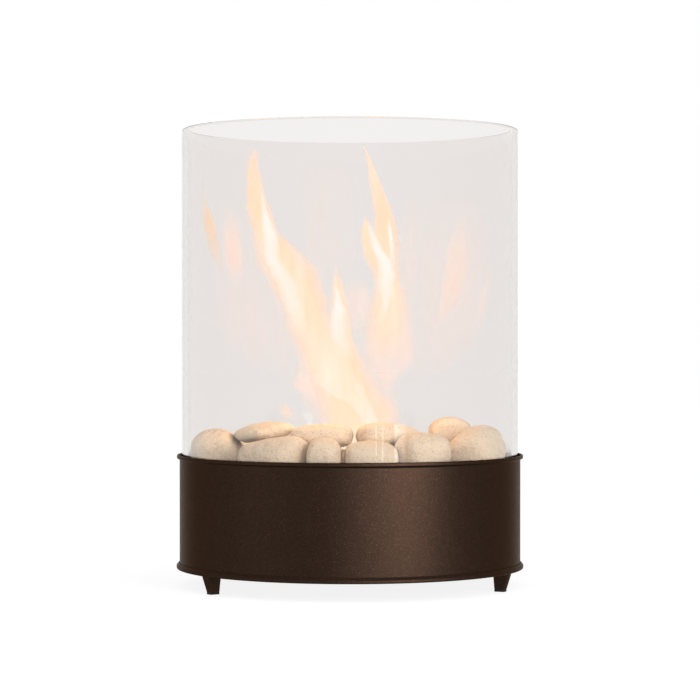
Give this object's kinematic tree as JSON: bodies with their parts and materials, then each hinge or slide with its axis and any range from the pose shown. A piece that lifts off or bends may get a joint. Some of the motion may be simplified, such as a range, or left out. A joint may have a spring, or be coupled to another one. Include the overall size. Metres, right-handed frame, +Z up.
{
  "type": "tabletop bioethanol fireplace",
  "caption": "Round tabletop fireplace: a glass cylinder over an ethanol burner in a ring of pebbles, in a low bronze steel drum on short feet.",
  "frame": {"origin": "on the table, on the axis of the drum and the glass", "axes": "+Z up along the axis, front at -Y, +X to the right seen from the front"},
  "size_m": [0.2444, 0.2444, 0.3205],
  "materials": {
    "bronze_coat": "satin powder coat with a fine metallic fleck",
    "dark_tray": "matt heat-proof coat",
    "zinc_steel": "zinc plated",
    "stainless": "brushed stainless steel",
    "clear_glass": "clear, fire-polished edges",
    "pebble": "cream tumbled stone, slightly pitted",
    "ceramic_wool": "white ceramic fibre",
    "black_rubber": "matt"
  },
  "bodies": {
    "base": {"base_band": "bronze_coat", "bottom_plate": "bronze_coat", "support_ring": "bronze_coat", "foot_screws": "zinc_steel", "front_left_foot": "bronze_coat", "front_right_foot": "bronze_coat", "rear_foot": "bronze_coat", "front_left_pad": "black_rubber", "front_right_pad": "black_rubber", "rear_pad": "black_rubber"},
    "tray": {"stone_tray": "dark_tray", "glass_seat_gasket": "black_rubber", "outer_stone_01": "pebble", "outer_stone_02": "pebble", "outer_stone_03": "pebble", "outer_stone_04": "pebble", "outer_stone_05": "pebble", "outer_stone_06": "pebble", "outer_stone_07": "pebble", "outer_stone_08": "pebble", "outer_stone_09": "pebble", "outer_stone_10": "pebble", "outer_stone_11": "pebble", "inner_stone_01": "pebble", "inner_stone_02": "pebble", "inner_stone_03": "pebble", "inner_stone_04": "pebble", "inner_stone_05": "pebble", "inner_stone_06": "pebble", "inner_stone_07": "pebble", "inner_stone_08": "pebble", "upper_stone_01": "pebble", "upper_stone_02": "pebble", "upper_stone_03": "pebble", "upper_stone_04": "pebble"},
    "glass": {"glass_cylinder": "clear_glass"},
    "burner": {"burner_pot": "stainless", "burner_flange": "stainless", "burner_top_ring": "stainless", "wool_retainer": "stainless", "ceramic_wool": "ceramic_wool"}
  },
  "joints": [
    {"name": "tray_lift", "type": "slide", "parent": "base", "child": "tray", "axis": [0, 0, 1], "range_m": [0, 0.07]},
    {"name": "glass_lift", "type": "slide", "parent": "tray", "child": "glass", "axis": [0, 0, 1], "range_m": [0, 0.06]},
    {"name": "burner_lift", "type": "slide", "parent": "tray", "child": "burner", "axis": [0, 0, 1], "range_m": [0, 0.1]}
  ]
}
